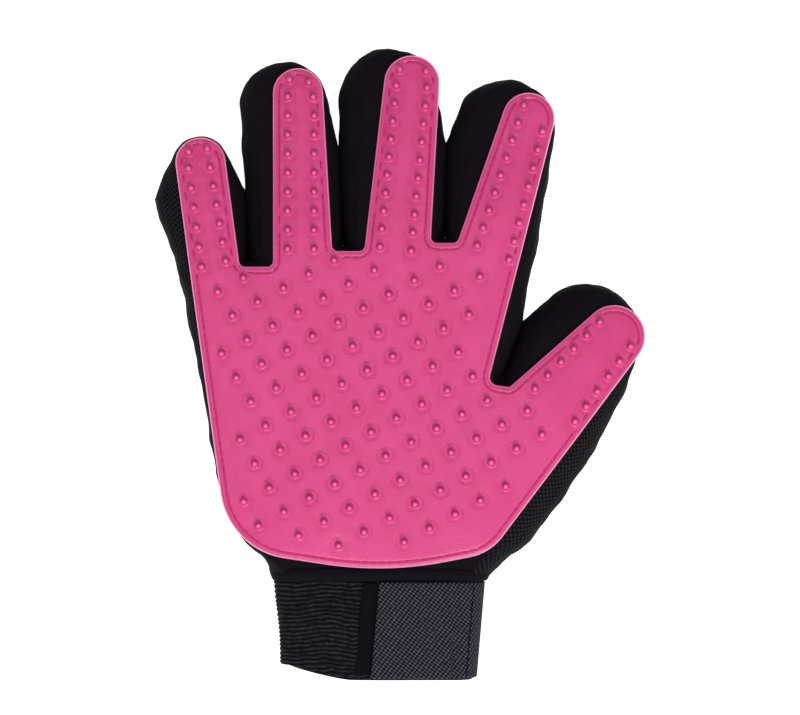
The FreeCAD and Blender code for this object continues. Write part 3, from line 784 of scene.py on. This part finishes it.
SIDE_SMOOTH, SIDE_NET, BACK = 0, 1, 2
KINDS = {
    SIDE_SMOOTH: ("sleeve", SMOOTH, "smooth_fabric"),
    SIDE_NET: ("net_side", NET, "mesh_fabric"),
    BACK: ("net_back", NET, "mesh_fabric"),
}
PALM_NODES = {
    SIDE_SMOOTH: ["palm_lining", "web_index_thumb", "web_middle_index", "web_ring_middle",
                  "web_little_ring"],
    SIDE_NET: ["little_side_wall", "thumb_side_wall"],
    BACK: ["back_mesh"],
}


def dress_sleeve():
    whole = build_sleeve()
    under = whole.points - whole.normals * SLEEVE_THICK
    centres = whole.points[whole.faces].mean(axis=1)
    regions = region_of(centres[:, :2], whole.digits)
    for region in range(REGIONS):
        for kind, (word, material, slot) in KINDS.items():
            chosen = (regions == region) & (whole.kinds == kind)
            if not chosen.any():
                continue
            name = region_name(region)
            piece = thick_piece(f"{name}_{word}", whole, under, material, slot, chosen)
            if region == 0:
                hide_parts(*PALM_NODES[kind])
            elif kind == SIDE_SMOOTH:
                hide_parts(f"{name}_lining", f"{name}_gusset")
            elif kind == BACK:
                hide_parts(f"{name}_back")
            attach(piece, region)


# -------- silicone palm

GROOVE = 2.3                 # the stitched groove's distance from the silicone's edge
RIM = [(0.0, 0.05), (0.0, 0.85), (0.12, 1.28), (0.42, 1.62), (0.8, 1.76)]
FACE_DEPTHS = [0.8, 1.5, 1.85, 2.1, 2.3, 2.5, 2.75, 3.1, 6.0]
FACE_HEIGHTS = [1.76, 1.82, 1.72, 1.48, 1.38, 1.48, 1.72, 1.82, 1.8]
NUB = [(2.65, 0.0), (2.05, 0.06), (1.6, 0.3), (1.3, 0.8), (1.14, 1.4), (1.06, 2.0),
       (0.98, 2.5), (0.76, 2.92), (0.38, 3.14)]
DIMPLE = 0.7                 # how far the silicone dips round each nub
DIMPLE_RADIUS = 2.7
TIP_HIGHLIGHT = 0.47              # a nub's tip gets the painted highlight that the silicone has this far from its edge
TIP_HIGHLIGHT_FADE = 0.45              # and how fast that painted highlight fades down the nub
# no painted highlight from a nub's tip
NO_TIP_HIGHLIGHT = 99.0
NUB_SIDES = 16
NUB_EDGE = 3.65              # least distance of a nub's centre from the silicone's edge,
GRID_EDGE = 6.2              # of the palm's grid of nubs,
HEEL_EDGE = 7.3              # of the grid round the heel of the hand,
CROTCH_EDGE = 3.3            # and of the grid near a crotch
CROTCH_REACH = 12.5
HEEL_Y = -20
GRID_END = 40                # the grid stops here, where the fingers' columns begin
NUB_CLEAR = 6                # least distance between the grid and the columns
FACE_PITCH = 2.1             # spacing of the points that fill the silicone's face
FACE_EDGE = 3.1              # and their distance from its edge
NUB_RINGS = (3.5, 4.5)       # further rings of points round each nub
BACKING = 0.02               # the silicone's gap over the fabric


def nub_places():
    """The columns on the digits, and the palm's turned grid clear of the silicone's edge."""
    places = [np.array(start) * (1 - t) + np.array(end) * t
              for start, end, count in COLUMNS for t in np.linspace(0, 1, count)]
    for _ in range(8):
        for i, place in enumerate(places):
            away = place - pad_line
            nearest = np.linalg.norm(away, axis=1).argmin()
            gap = np.linalg.norm(away[nearest])
            if gap < NUB_EDGE:
                places[i] = place - pad_outward[nearest] * (NUB_EDGE - gap)
    columns = np.array(places)
    steps = np.array(GRID_STEPS)
    grid = np.array([np.array(GRID_START) + steps[0] * i + steps[1] * j
                     for i in range(-14, 10) for j in range(-9, 15)])
    grid = grid[inside(pad_line, grid)]
    edge = distance_to(pad_line, grid)
    to_crotch = nearest_of(grid, np.array(CROTCHES))
    need = np.where(grid[:, 1] < HEEL_Y, HEEL_EDGE, GRID_EDGE)
    need = np.where((to_crotch < CROTCH_REACH) & (grid[:, 1] > 0), CROTCH_EDGE, need)
    thumb = (digit_of(grid) == 4) & (along_digit("thumb", grid) > -3)
    clear = nearest_of(grid, columns) > NUB_CLEAR
    grid = grid[(edge >= need) & ~thumb & clear & (grid[:, 1] < GRID_END)]
    return np.vstack([columns, grid])


def nearest_of(plan, places):
    """Distance of plan points from the nearest of several places."""
    return np.linalg.norm(plan[:, None] - places[None], axis=2).min(axis=1)


def build_pad(nubs):
    whole = Whole()
    count = len(pad_line)

    def lay(plan, lift, from_tip=NO_TIP_HIGHLIGHT):
        away = nearest_of(plan, nubs)
        from_edge = distance_to(pad_line, plan)
        dip = DIMPLE * np.exp(-(away / DIMPLE_RADIUS) ** 2) * np.clip((from_edge - 0.8) / 2, 0, 1)
        height = sleeve_top(plan) + lift - dip
        # the third number is the nearness to the edge or to a nub's tip, which sets the painted
        # highlight there
        weave = np.column_stack([plan, np.minimum(from_edge, from_tip)])
        return whole.add_points(np.column_stack([plan, height]), weave)

    for depth, lift in RIM:
        last_ring = lay(pad_line - pad_outward * depth, lift)
    whole.add_faces(strip_faces(0, len(RIM), count, True)[:, ::-1], 0)
    border = pad_line - pad_outward * RIM[-1][0]
    clear = NUB[0][0] + 0.35
    extra = [pad_line - pad_outward * depth for depth in FACE_DEPTHS[1:-1]]
    ring = unit(np.arange(12) * math.pi / 6)
    for radius in NUB_RINGS:
        rings = (nubs[:, None] + ring[None] * radius).reshape(-1, 2)
        rings = rings[inside(pad_line, rings)]
        extra.append(rings[distance_to(pad_line, rings) > 3.3])
    extra.append(grid_inside(border, FACE_PITCH * COARSE, FACE_EDGE))
    extra = spaced(np.vstack(extra), 0.2)
    extra = extra[nearest_of(extra, nubs) > clear]
    first_extra = lay(extra, face_height(extra))
    turns = unit(np.arange(NUB_SIDES) * 2 * math.pi / NUB_SIDES)
    loops = [list(range(count))]
    plan = [border, extra]
    numbers = [last_ring + np.arange(count), first_extra + np.arange(len(extra))]
    at = face_points = count + len(extra)
    for nub in nubs:
        base = nub + turns * NUB[0][0]
        first = build_nub(whole, lay, nub, turns)
        plan.append(base)
        numbers.append(first + np.arange(NUB_SIDES))
        loops.append(list(range(at, at + NUB_SIDES)))
        at += NUB_SIDES
    plan, numbers = np.vstack(plan), np.concatenate(numbers)
    faces = triangles(plan, loops)
    owner = np.where(faces >= face_points, (faces - face_points) // NUB_SIDES, -1)
    disc = (owner[:, 0] >= 0) & (owner[:, 0] == owner[:, 1]) & (owner[:, 1] == owner[:, 2])
    whole.add_faces(numbers[faces[~disc]], 0)
    whole.close()
    return whole


def face_height(plan):
    """Height of the silicone's face over the fabric, with its rim and stitched groove."""
    return np.interp(distance_to(pad_line, plan), FACE_DEPTHS, FACE_HEIGHTS)


def spaced(points, apart):
    """The points without any that share a small square with an earlier one."""
    _, first = np.unique(np.round(points / apart).astype(int), axis=0, return_index=True)
    return points[np.sort(first)]


def build_nub(whole, lay, nub, turns):
    """One nub: rings that narrow to a rounded tip."""
    for ring, (radius, rise) in enumerate(NUB):
        plan = nub + turns * radius
        if ring == 0:
            lift = face_height(plan)
        else:
            lift = np.full(NUB_SIDES, SILICONE + rise)
        # each ring carries how much of the painted highlight it gets, most at the tip
        start = lay(plan, lift, TIP_HIGHLIGHT + TIP_HIGHLIGHT_FADE * (NUB[-1][1] - rise))
        if ring == 0:
            first = start
    tip = lay(nub[None], np.array([SILICONE + NUB[-1][1] + 0.02]), TIP_HIGHLIGHT)
    whole.add_faces(strip_faces(first, len(NUB), NUB_SIDES, True), 0)
    around = np.arange(NUB_SIDES)
    cap = np.stack([start + around, start + (around + 1) % NUB_SIDES,
                    np.full(NUB_SIDES, tip)], axis=1)
    whole.add_faces(cap, 0)
    return first


def dress_pad():
    nubs = nub_places()
    whole = build_pad(nubs)
    under = whole.points.copy()
    under[:, 2] = sleeve_top(whole.points[:, :2]) + BACKING
    centres = whole.points[whole.faces].mean(axis=1)
    regions = region_of(centres[:, :2])
    for region in range(REGIONS):
        name = region_name(region)
        piece = thick_piece(f"{name}_silicone", whole, under, PINK, "silicone", regions == region)
        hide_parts("palm_pad" if region == 0 else f"{name}_pad")
        attach(piece, region)
    dress_stitches(nubs)


def stitch(start, end, radius, sides=6):
    """Points and faces of a stitch of thread between two places."""
    axis = (end - start) / np.linalg.norm(end - start)
    flat = np.cross(axis, (0, 0, 1.0))
    flat /= np.linalg.norm(flat)
    up = np.cross(flat, axis)
    turns = np.arange(sides) * 2 * math.pi / sides
    around = np.outer(np.cos(turns), flat) + np.outer(np.sin(turns), up)
    rings = [(start, 0.55, -0.7), (start, 1.0, 0.2), (end, 1.0, -0.2), (end, 0.55, 0.7)]
    points = [place + axis * radius * push + around * radius * width
              for place, width, push in rings]
    points = np.vstack(points + [[start - axis * radius], [end + axis * radius]])
    faces = strip_faces(0, 4, sides, True).tolist()
    low, high = 4 * sides, 4 * sides + 1
    for i in range(sides):
        n = (i + 1) % sides
        faces += [[n, i, low], [3 * sides + i, 3 * sides + n, high]]
    return points, faces


def threads(name, stitches, radius, material):
    """One object of separate stitches."""
    points, faces = [], []
    for start, end in stitches:
        more, turned = stitch(np.array(start), np.array(end), radius)
        faces += [[i + len(points) for i in face] for face in turned]
        points += list(more)
    points = np.array(points)
    return new_piece(name, points, faces, points, material)


STITCH_PITCH = 3.1
STITCH_LENGTH = 2.2
STITCH_RADIUS = 0.27
STITCH_LIFT = 1.5            # height over the fabric
STITCH_CLEAR = 3.2           # a stitch nearer than this to a nub is left out


def run_along(line):
    """Distance passed at each point of a line."""
    steps = np.linalg.norm(np.diff(line, axis=0), axis=1)
    return np.concatenate([[0], np.cumsum(steps)])


def dress_stitches(nubs):
    """The row of stitches in the groove just inside the silicone's edge."""
    line = pad_line - pad_outward * GROOVE
    closed = np.vstack([line, line[:1]])
    passed = run_along(closed)
    count = int(passed[-1] / STITCH_PITCH)
    ends = []
    for t in (0.0, STITCH_LENGTH):
        at = (np.arange(count) * passed[-1] / count + t) % passed[-1]
        plan = np.column_stack([np.interp(at, passed, closed[:, k]) for k in (0, 1)])
        ends.append(np.column_stack([plan, sleeve_top(plan) + STITCH_LIFT]))
    middle = (ends[0] + ends[1])[:, :2] / 2
    clear = nearest_of(middle, nubs) > STITCH_CLEAR
    regions = region_of(middle)
    for region in range(REGIONS):
        chosen = np.flatnonzero(clear & (regions == region))
        stitches = [(ends[0][i], ends[1][i]) for i in chosen]
        piece = threads(f"{region_name(region)}_stitches", stitches, STITCH_RADIUS, THREAD)
        attach(piece, region)


# -------- cuff and strap

CUFF_TOP = 23.0
CUFF_BOTTOM = 1.5
CUFF_CORNER = 8.0
CUFF_WALL = 2.0
CUFF_START = -77.0
CUFF_END = -117.1
CUFF_LEFT = (-47.0, 3.0)     # the left edge at the palm, and its change to the open end
CUFF_RIGHT = (30.4, -3.4)
SLANT_START = -18.0          # the open end is cut back from here to the left,
SLANT_WIDTH = 26.0           # over this width and this far in the end
SLANT_DEPTH = 5.6
RIB_PITCH = 1.62
ROLL_BOX = (-48.0, 33.2, 0.3, 25.4)    # the binding's left, right, lower and upper sides
ROLL_CORNER = 10.0
ROLL_START = -75.7
ROLL_LENGTH = 4.6
ROLL_WALL = 2.6
ROLL_ROWS = 15


def cuff_side(y, side):
    """The cuff's edge at a place along it: -1 for the left, 1 for the right."""
    t = (y - CUFF_START) / (CUFF_END - CUFF_START)
    start, change = CUFF_LEFT if side < 0 else CUFF_RIGHT
    return start + change * t


def round_section(left, right, low, high, radius, spacing):
    """A rounded rectangle in X and Z, with its outward directions."""
    box = [(left + radius, low + radius), (left + radius, high - radius),
           (right - radius, high - radius), (right - radius, low + radius)]
    circles = [(x, z, radius, 1) for x, z in box]
    line, _, angle = twin_belts(circles, circles, True, spacing)
    return line, unit(angle)


def tube(name, line, outward, ys, push, wall, ends, material, slot, crest=0.0):
    """A closed band round the wrist: ys and push hold a row of values for each turn.

    ends are the band's left and right sides there, and crest marks the tops of its ribs.
    """
    left, right = ends
    share = (line[:, 0] - line[:, 0].min()) / np.ptp(line[:, 0])
    x = left + (right - left) * share

    def pushed(out):
        return np.stack([x + outward[:, 0] * out, ys, line[:, 1] + outward[:, 1] * out], axis=-1)

    points = pushed(push)
    weave = np.zeros_like(points)
    weave[:, :, 0] = run_along(line)[None]
    weave[:, :, 1] = ys
    weave[:, :, 2] = crest
    whole = surface(points, weave, around=True)
    outside = np.column_stack([outward[:, 0], np.zeros(len(line)), outward[:, 1]])
    if (whole.normals.reshape(points.shape)[len(ys) // 2] * outside).sum() < 0:
        whole.faces = whole.faces[:, ::-1]
        whole.find_normals()
    return thick_piece(name, whole, pushed(np.full(ys.shape, -wall)).reshape(-1, 3), material, slot)


def dress_cuff():
    line, outward = round_section(CUFF_LEFT[0], CUFF_RIGHT[0], CUFF_BOTTOM, CUFF_TOP,
                                  CUFF_CORNER, 0.9 * COARSE)
    rise = np.clip((SLANT_START - line[:, 0]) / SLANT_WIDTH, 0, 1)
    end = CUFF_END + SLANT_DEPTH * rise ** 1.4
    rows = int((CUFF_START - CUFF_END) / RIB_PITCH * (8))
    t = np.linspace(0, 1, rows)[:, None]
    ys = CUFF_START * (1 - t) + end[None] * t
    flat = np.stack([np.broadcast_to(line[:, 0], ys.shape), ys], axis=-1).reshape(-1, 2)
    sway = (ripple(flat * (1, 0.4), 24, 21) + 0.35 * ripple(flat, 6, 23)).reshape(ys.shape)
    phase = (CUFF_START - ys + 0.45 * sway) / RIB_PITCH
    # crest is 1 on the rib tops, which the elastic colours lighter as a painted highlight
    crest = np.abs(np.sin(math.pi * phase))
    ribs = 0.55 * crest ** 0.8 - 0.4
    to_end = ys - end[None]
    hem = np.clip(1 - to_end / 1.0, 0, 1)
    push = ribs * (1 - hem) - 0.75 * (1 - np.sqrt(np.maximum(0, 1 - hem ** 2)))
    push = push + 0.25 * ripple(flat, 34, 22).reshape(ys.shape)
    cuff = tube("cuff", line, outward, ys, push, CUFF_WALL,
                (cuff_side(ys, -1), cuff_side(ys, 1)), ELASTIC, "ribbed_elastic", crest)
    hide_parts("cuff_elastic")
    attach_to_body(cuff, "palm")
    line, outward = round_section(*ROLL_BOX, ROLL_CORNER, 0.9 * COARSE)
    t = np.linspace(0, 1, ROLL_ROWS)[:, None]
    ys = np.broadcast_to(ROLL_START - ROLL_LENGTH * t, (ROLL_ROWS, len(line)))
    push = np.broadcast_to(-0.9 * (np.abs(2 * t - 1) ** 2.5), ys.shape)
    roll = tube("wrist_roll", line, outward, ys, push, ROLL_WALL, ROLL_BOX[:2],
                SMOOTH, "smooth_fabric")
    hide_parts("wrist_binding")
    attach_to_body(roll, "palm")


def soft_slab(name, left, right, low, high, base, thick, relief, material, slot):
    """A thin patch with rounded edges; left and relief are functions of place."""
    pitch = 0.45 * COARSE
    ys = np.arange(low, high + pitch / 2, pitch)
    columns = int((right - left((low + high) / 2)) / pitch)
    t = np.linspace(0, 1, columns)[None]
    y = np.broadcast_to(ys[:, None], (len(ys), columns))
    x = left(y) * (1 - t) + right * t
    edge = np.minimum(np.minimum(x - left(y), right - x), np.minimum(y - low, high - y))
    soft = np.sqrt(1 - (1 - np.clip(edge / 0.6, 0, 1)) ** 2)
    z = base + thick * (0.45 + 0.55 * soft) + relief(x, y) * soft
    whole = surface(np.stack([x, y, z], axis=-1), np.stack([x, y, 0 * z], axis=-1))
    under = whole.points.copy()
    under[:, 2] = base
    return thick_piece(name, whole, under, material, slot)


TAB_FACE = 26.0
TAB_THICK = 1.3
FOLD_X = 18.5
TAB_TOP_Y = -80.6
TAB_END_Y = -116.4
TAB_LEFT_X = -7.6            # the free edge beside the palm
TAB_LEAN = 3.4 / 36.0        # and how far it moves left for each millimetre of Y
BAND_SHOWN = 6.2             # how far the loop tape shows beside that edge
SEWN_DROP = 6.0              # how far the strap reaches down the cuff's side
BEND_RADIUS = CUFF_CORNER + TAB_THICK + 0.2    # the strap's face where it rounds the cuff


def bend_centre(y):
    """The middle of the strap's bend round the cuff's edge, in X and Z."""
    return np.array((cuff_side(y, 1) + 0.1 - CUFF_CORNER, CUFF_TOP - CUFF_CORNER))


def tab_left(y):
    """The strap's free edge, which leans a little."""
    return TAB_LEFT_X + (y - TAB_TOP_Y) * TAB_LEAN


def strap_section(y, samples):
    """The strap's outer face at a place along the wrist, from its free edge to its sewn end."""
    centre = bend_centre(y)
    low = centre[1] + BEND_RADIUS
    flat = np.linspace(tab_left(y), FOLD_X, samples)[:-1]
    slope = np.linspace(0, 1, samples // 6)[:-1]
    drop = slope ** 2 * (3 - 2 * slope)
    bend = centre + BEND_RADIUS * unit(np.linspace(math.pi / 2, 0, samples // 5))
    down = np.linspace(0, 1, samples // 9)[1:]
    return np.vstack([
        np.column_stack([flat, 0 * flat + TAB_FACE]),
        np.column_stack([FOLD_X + (centre[0] - FOLD_X) * slope,
                         TAB_FACE + (low - TAB_FACE) * drop]),
        bend,
        np.column_stack([0 * down + bend[-1, 0], bend[-1, 1] - SEWN_DROP * down]),
    ])


def pile_relief(x, y):
    return waves(np.stack([x, y], axis=-1).reshape(-1, 2), (0.06, 1.6, 31)).reshape(x.shape)


def hook_relief(x, y):
    return -0.22 * np.abs(np.sin(x * 2.4) * np.sin(y * 2.4))


def dress_strap():
    band = soft_slab("loop_band", lambda y: tab_left(y) - BAND_SHOWN, 18.0,
                     -115.0, -81.0, CUFF_TOP, 0.8, pile_relief, PILE, "loop_tape")
    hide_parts("loop_patch")
    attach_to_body(band, "palm")
    hooks = soft_slab("hook_pad", lambda y: y * 0 - 5.8, 17.8,
                      -115.0, -81.5, CUFF_TOP + 0.82, 0.75, hook_relief, HOOKS, "hook_tape")
    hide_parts("hook_patch")
    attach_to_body(hooks, "strap_flap")
    samples = 90
    ys = np.linspace(TAB_TOP_Y, TAB_END_Y, samples)
    sections = [strap_section(y, samples) for y in ys]
    points = np.array([np.column_stack([s[:, 0], np.full(len(s), y), s[:, 1]])
                       for s, y in zip(sections, ys)])
    run = np.array([run_along(row) for row in points])
    weave = np.stack([run, points[:, :, 1], 0 * run], axis=-1)
    whole = surface(points, weave, turned_over=True)
    under = whole.points - whole.normals * TAB_THICK
    edge = np.minimum(np.minimum(points[:, :, 1] - TAB_END_Y, TAB_TOP_Y - points[:, :, 1]),
                      np.minimum(run, run[:, -1:] - run)).reshape(-1)
    soft = 1 - np.sqrt(1 - (1 - np.clip(edge / 0.7, 0, 1)) ** 2)
    relief = 0.08 * ripple(whole.points[:, :2], 9, 41) * (whole.points[:, 2] > 20)
    whole.points = whole.points + whole.normals * (relief - 0.6 * soft)[:, None]
    whole.find_normals()
    strap = thick_piece("strap", whole, under, TAPE, "strap_webbing")
    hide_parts("strap_tab", "strap_anchor")
    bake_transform(strap)
    dress_strap_stitches()


def dress_strap_stitches():
    """The seam that holds the strap's sewn end to the cuff, laid on the strap's bend."""
    seam = (BEND_RADIUS + 0.05) * unit(np.array(math.radians(56.0)))

    def place(y):
        x, z = bend_centre(y) + seam
        return (x, y, z)

    stitches = [(place(y), place(y - 1.8))
                for y in np.arange(TAB_TOP_Y - 2.0, TAB_END_Y + 2.5, -2.6)]
    row = threads("strap_seam", stitches, 0.28, SMOOTH)
    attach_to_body(row, "palm")


# -------- setting

def soft_light(name, place, aim, size, power):
    data = bpy.data.lights.new(name, "AREA")
    data.size = size
    data.energy = power
    made = linked(name, data)
    made.location = place
    made.rotation_euler = (Vector(aim) - Vector(place)).to_track_quat("-Z", "Y").to_euler()


def set_stage():
    scene = bpy.context.scene
    scene.view_settings.view_transform = "Standard"
    scene.view_settings.look = "None"
    scene.world = bpy.data.worlds.new("studio")
    scene.world.use_nodes = True
    background = scene.world.node_tree.nodes["Background"]
    background.inputs["Color"].default_value = (1, 1, 1, 1)
    background.inputs["Strength"].default_value = 0.6
    mesh = bpy.data.meshes.new("floor")
    half = 3.0
    mesh.from_pydata([(-half, -half, 0), (half, -half, 0), (half, half, 0), (-half, half, 0)],
                     [], [(0, 1, 2, 3)])
    floor = linked("floor", mesh)
    floor.location.z = -0.0004
    made, _, shader = new_material("pale_floor")
    for socket, value in (("Base Color", (0.5, 0.5, 0.5, 1)), ("Roughness", 0.9),
                          ("Specular IOR Level", 0.1), ("Emission Color", (1, 1, 1, 1)),
                          ("Emission Strength", 0.95)):
        shader.inputs[socket].default_value = value
    mesh.materials.append(made)
    soft_light("key", (0.2, -0.8, 0.85), (0, 0, 0), 0.6, 11.0)
    soft_light("top", (-0.1, 0.1, 1.5), (0, 0, 0), 0.9, 3.0)
    data = bpy.data.cameras.new("camera")
    data.lens = 200
    data.sensor_width = 36
    camera = linked("camera", data)
    camera.location = (0, 0.0026, 1.67)
    scene.camera = camera


dress_sleeve()
dress_pad()
dress_cuff()
dress_strap()
set_stage()
